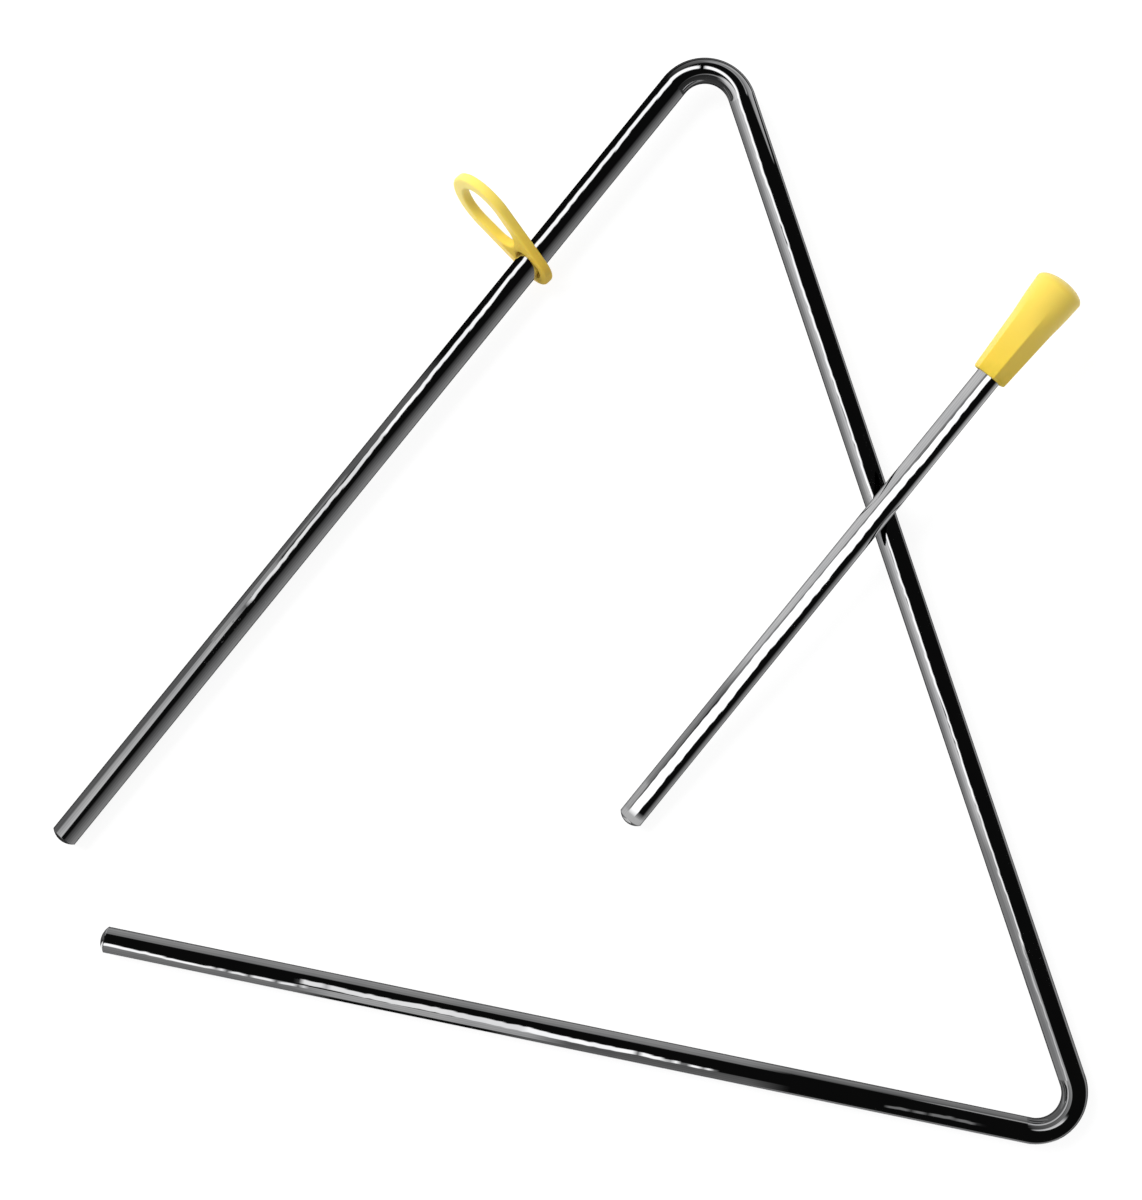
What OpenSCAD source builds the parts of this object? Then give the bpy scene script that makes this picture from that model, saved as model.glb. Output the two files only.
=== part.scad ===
// A musical triangle laid down: one bright round bar bent twice and left open at
// the third corner, a moulded finger holder threaded on it, and a striker with a
// moulded grip that leans over the closed side with its tip on the table. The bar
// rests on its low leg and on the holder's ring, so its top bend is a little raised.
// X runs along the low leg towards the low bend, and Z is up from the table.

/* [Bar] */
// Diameter of the round bar
bar_d = 6; // [4:0.1:9]
// Length of the closed side, measured over its two bends
closed_len = 253.7; // [220:0.1:320]
// Angle between the legs at the top bend
top_angle = 57.9; // [54:0.1:64]
// Angle between the legs at the low bend
low_angle = 59.6; // [56:0.1:66]
// Radius of both bends, to the middle of the bar
bend_r = 8.5; // [6:0.1:20]
// Leg that carries the holder, from the sharp corner of the top bend to its end
holder_leg = 231.5; // [180:0.1:236]
// Low leg, from the sharp corner of the low bend to its end
low_leg = 225.8; // [180:0.1:232]
// Height of the dome on each free end
end_dome = 1.2; // [0.6:0.1:2]

/* [Finger holder] */
// Place of the holder's ring, from the sharp corner of the top bend
ring_place = 65.9; // [40:0.1:130]
// Thickness of the moulded plate
holder_t = 2.2; // [2:0.1:3.4]
// Width of the band round the finger hole
band_w = 3.2; // [2:0.1:4]
// Width of the band round the ring's hole
ring_band_w = 2.4; // [1.8:0.1:3.4]
// Radius rounded onto every edge of the plate
holder_edge = 0.6; // [0.4:0.1:0.9]
// Width of the plate over the finger hole
loop_w = 19.2; // [18:0.1:24]
// Length of the finger hole from end to end
hole_len = 16; // [14:0.1:30]
// Width of the web between the finger hole and the ring
web_w = 2; // [1.8:0.1:4]
// Radius of the finger hole's end beside the ring
hole_tip_r = 5.1; // [2:0.1:5.5]
// Turn of the plate away from square to the leg, seen from above
holder_turn = 6.7; // [0:0.1:12]
// Lean of the plate, which stands on its side, out of upright
holder_lean = 12.4; // [0:0.1:18]

/* [Striker] */
// Diameter of the striker's rod
striker_d = 5.7; // [4:0.1:5.8]
// Length of the striker from end to end
striker_len = 152.6; // [135:0.1:200]
// Height of the dome on the striker's tip
tip_dome = 1.4; // [0.6:0.1:2]
// Where the tip lies, from the sharp corner of the low bend along the low leg
tip_back = 115.8; // [90:0.1:130]
// Where the tip lies, from the middle of the low leg towards the top bend
tip_up = 50.3; // [30:0.1:70]
// Heading of the striker, from the low leg's direction
striker_yaw = 63; // [50:0.1:75]

/* [Grip] */
// Length of the grip with its crowned end
grip_len = 26.2; // [20:0.1:45]
// Width of the six-sided mouth, over its corners
mouth_w = 8.4; // [8.3:0.1:12]
// Diameter of the grip's wide end
grip_end_d = 11.4; // [10:0.1:18]
// Height of the crown on the wide end
crown_h = 2.4; // [1:0.1:5]
// Plastic left between the rod's end and the top of the crown
grip_floor = 7.2; // [4:0.1:12]
// Bevel round the outside of the mouth
mouth_bevel = 0.5; // [0.2:0.1:0.6]

/* [Fit] */
// Free room between the bar and what leans or hangs on it
seat_gap = 0.3; // [0.2:0.05:0.5]

/* [Hidden] */
$fn = 96;

bar_r = bar_d / 2;
striker_r = striker_d / 2;
steel = [0.78, 0.79, 0.81];
plastic = [0.98, 0.83, 0.28];

function heading(a) = [cos(a), sin(a)];

// The bar draws in a little where it is bent, and each straight laps over its bend
bend_draw = 0.02;
bend_lap = 0.2;
bend_bar_r = bar_r - bend_draw;

// The holder is a plate in X and Y, with the ring's middle at zero. Its angle to
// the bar sets how wide the ring has to be to stay clear of the bar.
half_flat = holder_t / 2 - holder_edge;
holder_angle = acos(cos(holder_turn) * cos(holder_lean));
ring_r = (bar_r + seat_gap + holder_edge + half_flat * sin(holder_angle)) / cos(holder_angle)
    - holder_edge;
ring_out_r = ring_r + ring_band_w;
loop_r = loop_w / 2;
loop_x = ring_r + web_w + hole_len - (loop_r - band_w);
hole_tip_x = ring_r + web_w + hole_tip_r;
side_angle = asin((loop_r - ring_out_r) / loop_x);
ring_z = (ring_out_r - holder_edge) * cos(holder_lean) + half_flat * sin(holder_lean)
    + holder_edge;

// Plan of the bar with the sharp corner of the low bend at zero, before the holder's
// ring raises the bar about its low leg
open_angle = 180 - top_angle - low_angle;
function reach(angle) = bend_r / tan(angle / 2);
closed_side = closed_len + reach(top_angle) + reach(low_angle)
    - 2 * (bend_r + bend_bar_r);
raw_top = closed_side * heading(180 - low_angle);
raw_holder_end = raw_top - holder_leg * heading(open_angle);
raw_top_centre = raw_top
    + bend_r / sin(top_angle / 2) * heading(180 + open_angle + top_angle / 2);
raw_ring = raw_top - ring_place * heading(open_angle);
bar_rise = asin((ring_z - bar_r) / raw_ring.y);
left_x = min(raw_holder_end.x + end_dome * cos(open_angle) - bar_r * sin(open_angle), -low_leg);
right_x = bend_r + bend_bar_r - reach(low_angle);
top_y = (raw_top_centre.y + bend_r) * cos(bar_rise) + bend_bar_r;

// The origin is the middle of the bar's own outline, on the table
low_corner = -[left_x + right_x, top_y - bar_r] / 2;
ring_xy = low_corner + [raw_ring.x, raw_ring.y * cos(bar_rise)];

// A ball cap of height h that ends a round bar of radius r
module dome(r, h) {
    ball_r = (r * r + h * h) / (2 * h);
    intersection() {
        translate([0, 0, h - ball_r]) sphere(r = ball_r);
        translate([-r, -r, 0]) cube([2 * r, 2 * r, h]);
    }
}

// A straight leg from a domed free end, running len towards its bend
module free_leg(end_xy, towards, len) {
    translate(end_xy) rotate([0, 90, towards]) translate([0, 0, end_dome]) {
        cylinder(h = len - end_dome, r = bar_r);
        mirror([0, 0, 1]) dome(bar_r, end_dome);
    }
}

// A bend through 180 - angle degrees, starting at the normal called from
module bend(centre, from, angle) {
    translate(centre) rotate([0, 0, from])
        rotate_extrude(angle = 180 - angle) translate([bend_r, 0]) circle(r = bend_bar_r);
}

module triangle_bar() {
    closed_start = (reach(low_angle) - bend_lap) * heading(180 - low_angle);
    closed_run = closed_side - reach(low_angle) - reach(top_angle) + 2 * bend_lap;
    color(steel) translate([low_corner.x, low_corner.y, bar_r]) rotate([bar_rise, 0, 0])
        union() {
            free_leg(raw_holder_end, open_angle, holder_leg - reach(top_angle) + bend_lap);
            bend(raw_top_centre, 90 - low_angle, top_angle);
            translate(closed_start) rotate([0, 90, 180 - low_angle])
                cylinder(h = closed_run, r = bar_r);
            bend([-reach(low_angle), bend_r], -90, low_angle);
            free_leg([-low_leg, 0], 0, low_leg - reach(low_angle) + bend_lap);
        }
}

// Steps in each stretch of the outlines, and round the edge of the plate
far_steps = 12;
tip_steps = 6;
ring_steps = 10;
near_steps = 8;
edge_steps = 4;

// Angles at which the straight sides leave the round ends
outer_turn = 90 + side_angle;
hole_turn = 90 + asin((loop_r - band_w - hole_tip_r) / (loop_x - hole_tip_x));
function arc(x, r, from, to, steps, first = 0) =
    [for (i = [first : steps]) [x, 0] + r * heading((from * (steps - i) + to * i) / steps)];
function on_side(x, inset) =
    [x, (ring_out_r - inset - x * cos(outer_turn)) / sin(outer_turn)];

// Halves of the three outlines, drawn in from the plate's faces by inset. The outer
// half has one point for each point of the hole's half and the ring's half.
function hole_half(inset) = concat(
    arc(loop_x, loop_r - band_w + inset, 0, hole_turn, far_steps),
    arc(hole_tip_x, hole_tip_r + inset, hole_turn, 180, tip_steps)
);
function ring_half(inset) = concat(
    arc(0, ring_r + inset, 0, outer_turn, ring_steps),
    arc(0, ring_r + inset, outer_turn, 180, near_steps, 1)
);
function outer_half(inset) = concat(
    arc(loop_x, loop_r - inset, 0, outer_turn, far_steps),
    [for (p = arc(hole_tip_x, hole_tip_r, hole_turn, 180, tip_steps)) on_side(p.x, inset)],
    [for (i = [0 : ring_steps])
        let (share = i / ring_steps)
        let (spread = (ring_out_r - inset - ring_r) * cos(outer_turn) * share)
        on_side(ring_r * cos(outer_turn * share) + spread, inset)],
    arc(0, ring_out_r - inset, outer_turn, 180, near_steps, 1)
);
function whole(half) =
    concat(half, [for (i = [len(half) - 2 : -1 : 1]) [half[i].x, -half[i].y]]);
function outlines(inset) =
    [whole(outer_half(inset)), whole(hole_half(inset)), whole(ring_half(inset))];
edge_low = [for (i = [0 : edge_steps])
    let (a = 90 * i / edge_steps)
    [holder_edge * (1 - cos(a)) - holder_t / 2, holder_edge * (1 - sin(a))]];
edge_high = [for (i = [edge_steps : -1 : 0]) [-edge_low[i][0], edge_low[i][1]]];
layers = concat(edge_low, edge_high);
loop_sizes = [for (loop = outlines(0)) len(loop)];
loop_starts = [0, loop_sizes[0], loop_sizes[0] + loop_sizes[1]];
layer_size = loop_starts[2] + loop_sizes[2];

// Point numbers of one half of a loop, from its far end to the ring's end
function half_ids(loop, side) =
    [for (i = [0 : loop_sizes[loop] / 2])
        loop_starts[loop] + (side > 0 ? i : (loop_sizes[loop] - i) % loop_sizes[loop])];
function backwards(list) = [for (i = [len(list) - 1 : -1 : 0]) list[i]];
function half_cap(side, base) =
    let (out = half_ids(0, side))
    let (in = concat(half_ids(1, side), half_ids(2, side)))
    [for (i = [0 : len(out) - 2])
        each [[out[i], out[i + 1], in[i + 1]] + base * [1, 1, 1],
            [out[i], in[i + 1], in[i]] + base * [1, 1, 1]]];
function flipped(faces) = [for (face = faces) backwards(face)];
function wall(loop, low) = [for (i = [0 : loop_sizes[loop] - 1])
    let (a = loop_starts[loop] + i)
    let (b = loop_starts[loop] + (i + 1) % loop_sizes[loop])
    [low + a, low + b, low + layer_size + b, low + layer_size + a]];

module holder_plate() {
    points = [for (layer = layers) for (loop = outlines(layer[1])) for (p = loop)
        [p.x, p.y, layer[0]]];
    top = layer_size * (len(layers) - 1);
    faces = concat(
        half_cap(1, 0), flipped(half_cap(-1, 0)),
        flipped(half_cap(1, top)), half_cap(-1, top),
        [for (k = [0 : len(layers) - 2]) for (loop = [0 : 2])
            each loop == 0 ? flipped(wall(loop, layer_size * k)) : wall(loop, layer_size * k)]
    );
    polyhedron(points = points, faces = faces, convexity = 6);
}

// The plate stands on its straight side, which is level, and leans a little
module finger_holder() {
    color(plastic) translate([ring_xy.x, ring_xy.y, ring_z])
        rotate([90 + holder_lean, 0, 90 + open_angle - holder_turn])
            rotate([0, 0, side_angle]) holder_plate();
}

// The striker's tip touches the table, and its rod leans on the closed side at the
// slope that leaves the free room between them
tip_xy = low_corner + [-tip_back, tip_up];
side_way = [-cos(low_angle), sin(low_angle) * cos(bar_rise), sin(low_angle) * sin(bar_rise)];
function striker_way(slope) = let (level = cos(slope) * heading(striker_yaw))
    [level.x, level.y, sin(slope)];
function side_gap(slope) =
    let (square = cross(striker_way(slope), side_way))
    let (from_corner = [-tip_back, tip_up, striker_r * cos(slope) - bar_r])
    from_corner * square / norm(square) - bar_r - striker_r;
function lean_slope(low, high, steps) =
    let (mid = (low + high) / 2)
    steps == 0 ? mid
        : side_gap(mid) > seat_gap ? lean_slope(low, mid, steps - 1)
        : lean_slope(mid, high, steps - 1);
most_slope = 45;
slope_steps = 24;
striker_slope = lean_slope(0, most_slope, slope_steps);

// Places a striker piece drawn along Z, with zero where the tip's dome starts
module on_striker() {
    translate([tip_xy.x, tip_xy.y, striker_r * cos(striker_slope)])
        rotate([0, 90 - striker_slope, striker_yaw]) children();
}

mouth_at = striker_len - tip_dome - grip_len;
socket_depth = grip_len - grip_floor;

module striker_rod() {
    color(steel) on_striker() {
        cylinder(h = mouth_at + socket_depth, r = striker_r);
        mirror([0, 0, 1]) dome(striker_r, tip_dome);
    }
}

// The grip is six-sided at its mouth and fades to round before its wide end
facet_turn = 60;
facet_points = 8;
grip_points = 360 / facet_turn * facet_points;
taper_steps = 9;
crown_steps = 6;
round_from_share = 0.35;
round_by_share = 0.85;
grip_roll = 10.5;
lead_in = 0.5;
lead_w = 0.3;
taper_len = grip_len - crown_h;
function side_r(z) = (mouth_w + (grip_end_d - mouth_w) * z / taper_len) / 2;
function roundness(z) =
    let (share = (z / taper_len - round_from_share) / (round_by_share - round_from_share))
    let (t = min(1, max(0, share)))
    t * t * (3 - 2 * t);
function flat_sided(a) = cos(facet_turn / 2) / cos(a % facet_turn - facet_turn / 2);
function grip_ring(z, r, mix) = [for (i = [0 : grip_points - 1])
    let (a = 360 * i / grip_points)
    let (size = r * (mix + (1 - mix) * flat_sided(a)))
    [size * cos(a), size * sin(a), z]];
taper_rings = [for (i = [0 : taper_steps])
    let (z = mouth_bevel + (taper_len - mouth_bevel) * i / taper_steps)
    grip_ring(z, side_r(z), roundness(z))];
crown_rings = [for (i = [1 : crown_steps - 1])
    let (a = 90 * i / crown_steps)
    grip_ring(taper_len + crown_h * sin(a), grip_end_d / 2 * cos(a), 1)];
grip_rings = concat([grip_ring(0, side_r(0) - mouth_bevel, 0)], taper_rings, crown_rings);

module grip_body() {
    points = concat([for (ring = grip_rings) each ring], [[0, 0, 0], [0, 0, grip_len]]);
    last = grip_points * (len(grip_rings) - 1);
    mouth_middle = last + grip_points;
    crown_top = mouth_middle + 1;
    faces = [for (i = [0 : grip_points - 1])
        let (j = (i + 1) % grip_points)
        each concat(
            [[mouth_middle, i, j]],
            [for (low = [0 : grip_points : last - grip_points])
                let (high = low + grip_points)
                each [[low + i, high + i, high + j], [low + i, high + j, low + j]]],
            [[last + i, crown_top, last + j]]
        )];
    polyhedron(points = points, faces = faces, convexity = 4);
}

// The hole for the rod, with a cone that opens its mouth
module socket() {
    cone_r = striker_r + 2 * lead_w;
    rotate_extrude() polygon([
        [0, -lead_in], [cone_r, -lead_in], [striker_r, lead_in],
        [striker_r, socket_depth], [0, socket_depth]
    ]);
}

module striker_grip() {
    color(plastic) on_striker() translate([0, 0, mouth_at]) rotate([0, 0, grip_roll])
        difference() {
            grip_body();
            socket();
        }
}

triangle_bar();
finger_holder();
striker_rod();
striker_grip();
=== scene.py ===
import math
from collections import namedtuple

import bpy
import numpy as np
from mathutils import Matrix, Vector

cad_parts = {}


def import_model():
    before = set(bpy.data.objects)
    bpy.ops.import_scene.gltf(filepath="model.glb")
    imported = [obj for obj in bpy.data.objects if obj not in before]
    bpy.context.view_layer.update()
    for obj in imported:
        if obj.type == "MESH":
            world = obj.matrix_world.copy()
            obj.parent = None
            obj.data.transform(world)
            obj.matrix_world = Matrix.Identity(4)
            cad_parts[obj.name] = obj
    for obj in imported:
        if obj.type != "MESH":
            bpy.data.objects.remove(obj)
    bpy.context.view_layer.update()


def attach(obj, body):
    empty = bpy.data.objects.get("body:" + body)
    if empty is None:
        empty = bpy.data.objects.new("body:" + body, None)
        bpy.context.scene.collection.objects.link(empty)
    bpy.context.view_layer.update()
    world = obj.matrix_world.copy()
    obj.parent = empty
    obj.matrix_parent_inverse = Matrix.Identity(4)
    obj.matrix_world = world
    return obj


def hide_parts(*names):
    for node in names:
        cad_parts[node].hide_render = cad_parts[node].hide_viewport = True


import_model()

MM = 0.001

# Driving sizes of the bar, as in the part's source
BAR_D = 6 * MM
CLOSED_LEN = 253.7 * MM
TOP_ANGLE = math.radians(57.9)
LOW_ANGLE = math.radians(59.6)
BEND_R = 8.5 * MM
BEND_DRAW = 0.02 * MM
HOLDER_LEG = 231.5 * MM
LOW_LEG = 225.8 * MM
END_DOME = 1.2 * MM

# Driving sizes of the finger holder
RING_PLACE = 65.9 * MM
HOLDER_T = 2.2 * MM
BAND_W = 3.2 * MM
RING_BAND_W = 2.4 * MM
HOLDER_EDGE = 0.6 * MM
LOOP_W = 19.2 * MM
HOLE_LEN = 16 * MM
WEB_W = 2 * MM
HOLE_TIP_R = 5.1 * MM
HOLDER_TURN = math.radians(6.7)
HOLDER_LEAN = math.radians(12.4)

# Driving sizes of the striker and its grip
STRIKER_D = 5.7 * MM
STRIKER_LEN = 152.6 * MM
TIP_DOME = 1.4 * MM
TIP_BACK = 115.8 * MM
TIP_UP = 50.3 * MM
STRIKER_YAW = math.radians(63)
GRIP_LEN = 26.2 * MM
MOUTH_W = 8.4 * MM
GRIP_END_D = 11.4 * MM
CROWN_H = 2.4 * MM
GRIP_FLOOR = 7.2 * MM
MOUTH_BEVEL = 0.5 * MM
LEAD_IN = 0.5 * MM
LEAD_W = 0.3 * MM
GRIP_ROLL = math.radians(10.5)
ROUND_FROM_SHARE = 0.35
ROUND_BY_SHARE = 0.85

# Free room between the bar and what leans or hangs on it
SEAT_GAP = 0.3 * MM

# Sizes of the skins alone: how far they lie inside the solids, how much a bend is flattened on
# its outer side, and how much of a facet's corner is taken off beyond its start
SKIN_IN = 0.01 * MM
CROWN_IN = 0.03 * MM
FLAT_SHARE = 0.10
CORNER_SHARE = 0.06
CORNER_FROM_SHARE = 0.94

# Steps of the meshes
ROUND_STEPS = 96
STRAIGHT_STEP = 1.25 * MM
BEND_STEPS = 40
DOME_STEPS = 10
GRIP_ROUND_STEPS = 144
GRIP_STEPS = 40
BEVEL_STEPS = 4
CROWN_STEPS = 16
FAR_STEPS = 36
HOLE_TIP_STEPS = 16
RING_STEPS = 24
NEAR_STEPS = 20
EDGE_STEPS = 6


def heading(angle):
    return np.array((math.cos(angle), math.sin(angle)))


def reach(angle):
    """Distance from a sharp corner to where its bend starts."""
    return BEND_R / math.tan(angle / 2)


# Radii of the metal, and of its skin
BAR_R = BAR_D / 2
BEND_BAR_R = BAR_R - BEND_DRAW
SKIN_R = BAR_R - SKIN_IN
ROD_R = STRIKER_D / 2

# Plan of the bar, with the sharp corner of the low bend at zero
OPEN_ANGLE = math.pi - TOP_ANGLE - LOW_ANGLE
CLOSED_SIDE = CLOSED_LEN + reach(TOP_ANGLE) + reach(LOW_ANGLE) - 2 * (BEND_R + BEND_BAR_R)
TOP_XY = CLOSED_SIDE * heading(math.pi - LOW_ANGLE)
HOLDER_END = TOP_XY - HOLDER_LEG * heading(OPEN_ANGLE)
TOP_CENTRE = TOP_XY + BEND_R / math.sin(TOP_ANGLE / 2) * heading(math.pi + OPEN_ANGLE + TOP_ANGLE / 2)
RING_XY = TOP_XY - RING_PLACE * heading(OPEN_ANGLE)

# The holder's plate, with the middle of its ring at zero
HALF_FLAT = HOLDER_T / 2 - HOLDER_EDGE
HOLDER_ANGLE = math.acos(math.cos(HOLDER_TURN) * math.cos(HOLDER_LEAN))
RING_ROOM = BAR_R + SEAT_GAP + HOLDER_EDGE + HALF_FLAT * math.sin(HOLDER_ANGLE)
RING_R = RING_ROOM / math.cos(HOLDER_ANGLE) - HOLDER_EDGE
RING_OUT_R = RING_R + RING_BAND_W
RING_SEAT = (RING_OUT_R - HOLDER_EDGE) * math.cos(HOLDER_LEAN)
RING_Z = RING_SEAT + HALF_FLAT * math.sin(HOLDER_LEAN) + HOLDER_EDGE
LOOP_R = LOOP_W / 2
HOLE_R = LOOP_R - BAND_W
LOOP_X = RING_R + WEB_W + HOLE_LEN - HOLE_R
HOLE_TIP_X = RING_R + WEB_W + HOLE_TIP_R
SIDE_ANGLE = math.asin((LOOP_R - RING_OUT_R) / LOOP_X)
OUTER_TURN = math.pi / 2 + SIDE_ANGLE
HOLE_TURN = math.pi / 2 + math.asin((HOLE_R - HOLE_TIP_R) / (LOOP_X - HOLE_TIP_X))

# The ring raises the bar, and the middle of the bar's outline is the origin
BAR_RISE = math.asin((RING_Z - BAR_R) / RING_XY[1])
LEFT_X = min(HOLDER_END[0] + END_DOME * math.cos(OPEN_ANGLE) - BAR_R * math.sin(OPEN_ANGLE), -LOW_LEG)
RIGHT_X = BEND_R + BEND_BAR_R - reach(LOW_ANGLE)
TOP_Y = (TOP_CENTRE[1] + BEND_R) * math.cos(BAR_RISE) + BEND_BAR_R
LOW_CORNER = Vector((-(LEFT_X + RIGHT_X) / 2, -(TOP_Y - BAR_R) / 2, BAR_R))
RING_AT = Vector((LOW_CORNER.x + RING_XY[0], LOW_CORNER.y + RING_XY[1] * math.cos(BAR_RISE), RING_Z))

# The grip along the striker
MOUTH_AT = STRIKER_LEN - TIP_DOME - GRIP_LEN
SOCKET_DEPTH = GRIP_LEN - GRIP_FLOOR
TAPER_LEN = GRIP_LEN - CROWN_IN - CROWN_H
MOUTH_R = MOUTH_W / 2
GRIP_END_R = GRIP_END_D / 2 - SKIN_IN
MOST_SLOPE = math.radians(45)
SLOPE_STEPS = 24


def side_gap(slope):
    """Free room between the closed side and the rod when it leans at this slope."""
    rod_way = np.array((*(math.cos(slope) * heading(STRIKER_YAW)), math.sin(slope)))
    climb = math.sin(LOW_ANGLE)
    side_way = np.array((-math.cos(LOW_ANGLE), climb * math.cos(BAR_RISE), climb * math.sin(BAR_RISE)))
    square = np.cross(rod_way, side_way)
    from_corner = np.array((-TIP_BACK, TIP_UP, ROD_R * math.cos(slope) - BAR_R))
    return from_corner @ square / np.linalg.norm(square) - BAR_R - ROD_R


def lean_slope():
    """The slope that leaves just the free room between the rod and the closed side."""
    low, high = 0.0, MOST_SLOPE
    for _ in range(SLOPE_STEPS):
        middle = (low + high) / 2
        if side_gap(middle) > SEAT_GAP:
            high = middle
        else:
            low = middle
    return (low + high) / 2


STRIKER_SLOPE = lean_slope()
TIP_AT = Vector((LOW_CORNER.x - TIP_BACK, LOW_CORNER.y + TIP_UP, ROD_R * math.cos(STRIKER_SLOPE)))

# Where each piece is drawn
bar_place = Matrix.Translation(LOW_CORNER) @ Matrix.Rotation(BAR_RISE, 4, "X")
striker_place = (
    Matrix.Translation(TIP_AT)
    @ Matrix.Rotation(STRIKER_YAW, 4, "Z")
    @ Matrix.Rotation(math.pi / 2 - STRIKER_SLOPE, 4, "Y")
)
grip_place = striker_place @ Matrix.Translation((0, 0, MOUTH_AT)) @ Matrix.Rotation(GRIP_ROLL, 4, "Z")
holder_place = (
    Matrix.Translation(RING_AT)
    @ Matrix.Rotation(math.pi / 2 + OPEN_ANGLE - HOLDER_TURN, 4, "Z")
    @ Matrix.Rotation(math.pi / 2 + HOLDER_LEAN, 4, "X")
    @ Matrix.Rotation(SIDE_ANGLE, 4, "Z")
)


# Mesh helpers
def new_piece(name, points, faces, place=Matrix.Identity(4)):
    """A smooth mesh object. Its points are drawn in the frame of place, and stay stored as drawn."""
    mesh = bpy.data.meshes.new(name)
    mesh.from_pydata([tuple(p) for p in points], [], faces)
    mesh.validate()
    mesh.polygons.foreach_set("use_smooth", [True] * len(mesh.polygons))
    drawn = mesh.attributes.new("drawn", "FLOAT_VECTOR", "POINT")
    drawn.data.foreach_set("vector", [value for vertex in mesh.vertices for value in vertex.co])
    mesh.transform(place)
    piece = bpy.data.objects.new(name, mesh)
    bpy.context.scene.collection.objects.link(piece)
    return piece


def set_grain(piece, places):
    """Stores (along, side, up) for each point, so that polish lines can follow the metal."""
    grain = piece.data.attributes.new("grain", "FLOAT_VECTOR", "POINT")
    grain.data.foreach_set("vector", [value for place in places for value in place])


def tube_faces(rings, count):
    """Quads between neighbouring rings of count points."""
    faces = []
    for k in range(rings - 1):
        for i in range(count):
            j = (i + 1) % count
            a, b = k * count, (k + 1) * count
            faces.append((a + i, a + j, b + j, b + i))
    return faces


def closed_tube(rings, first, last):
    """Points and faces of a tube whose two ends run to the points first and last."""
    count = len(rings[0])
    points = [p for ring in rings for p in ring] + [first, last]
    faces = tube_faces(len(rings), count)
    start, end = len(points) - 2, len(points) - 1
    base = (len(rings) - 1) * count
    for i in range(count):
        j = (i + 1) % count
        faces.append((start, j, i))
        faces.append((end, base + i, base + j))
    return points, faces


def circle(radius, z, count=ROUND_STEPS):
    turn = 2 * math.pi / count
    return [(radius * math.cos(turn * i), radius * math.sin(turn * i), z) for i in range(count)]


def dome_profile(radius, height):
    """Share of the radius and height above the base, from a dome's base almost to its tip."""
    ball = (radius * radius + height * height) / (2 * height)
    full = math.asin(radius / ball)
    for k in range(DOME_STEPS):
        a = full * (1 - k / DOME_STEPS)
        yield ball * math.sin(a) / radius, ball * math.cos(a) - (ball - height)


# The bar: one skin swept along its legs and bends. A station is a point of its middle line with
# the heading there, the leg, the distance along the leg from its sharp corner, and the share of
# the bend after the leg, which is zero on the straight.
Station = namedtuple("Station", "at way leg along share")
LEG_RUNS = (
    (0.0, HOLDER_LEG - reach(TOP_ANGLE)),
    (reach(TOP_ANGLE), CLOSED_SIDE - reach(LOW_ANGLE)),
    (reach(LOW_ANGLE), LOW_LEG),
)
BEND_TURNS = (math.pi - TOP_ANGLE, math.pi - LOW_ANGLE)


def leg_stations(leg, at, way):
    start, end = LEG_RUNS[leg]
    steps = round((end - start) / STRAIGHT_STEP)
    for i in range(steps + 1):
        far = (end - start) * i / steps
        yield Station(at + far * heading(way), way, leg, start + far, 0.0)


def bend_stations(leg, centre, way):
    for i in range(1, BEND_STEPS):
        share = i / BEND_STEPS
        angle = way - BEND_TURNS[leg] * share
        at = centre + BEND_R * heading(angle + math.pi / 2)
        yield Station(at, angle, leg, LEG_RUNS[leg][1], share)


def bar_stations():
    at, way = HOLDER_END, OPEN_ANGLE
    stations = []
    for leg in range(len(LEG_RUNS)):
        stations += leg_stations(leg, at, way)
        if leg < len(BEND_TURNS):
            centre = stations[-1].at + BEND_R * heading(way - math.pi / 2)
            stations += bend_stations(leg, centre, way)
            way -= BEND_TURNS[leg]
            at = centre + BEND_R * heading(way + math.pi / 2)
    return stations


def bar_ring(at, way, bend, scale):
    """One ring of the bar; a bend is flattened on its outer side."""
    out = heading(way + math.pi / 2)
    ring = []
    for i in range(ROUND_STEPS):
        a = 2 * math.pi * i / ROUND_STEPS
        side = math.cos(a)
        if side > 0:
            side *= 1 - FLAT_SHARE * bend * side * side
        xy = at + out * SKIN_R * scale * side
        ring.append((xy[0], xy[1], SKIN_R * scale * math.sin(a)))
    return ring


def bar_cap(station, sign):
    """Rings of a domed end, from its base to its tip; sign says which way the bar runs on."""
    rings = []
    for share, rise in dome_profile(SKIN_R, END_DOME):
        at = station.at + sign * (END_DOME - rise) * heading(station.way)
        rings.append(bar_ring(at, station.way, 0, share))
    return rings


def bar_mesh():
    stations = bar_stations()
    first, last = stations[0], stations[-1]
    rings = bar_cap(first, 1)[::-1]
    for station in stations[1:-1]:
        rings.append(bar_ring(station.at, station.way, math.sin(math.pi * station.share), 1))
    rings += bar_cap(last, -1)
    return closed_tube(rings, (*first.at, 0), (*last.at, 0))


def bar_grain():
    """Place along the bar and round it, for each point of its mesh."""
    at = [station.at for station in bar_stations()]
    run = [0.0]
    for a, b in zip(at, at[1:]):
        run.append(run[-1] + float(np.hypot(*(b - a))))
    places = []
    for far in [run[0]] * DOME_STEPS + run[1:-1] + [run[-1]] * DOME_STEPS:
        places += [(far, side, up) for side, up, _ in circle(SKIN_R, 0)]
    return places + [(run[0], 0, 0), (run[-1], 0, 0)]


bar = new_piece("bar_skin", *bar_mesh(), bar_place)
set_grain(bar, bar_grain())


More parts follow.
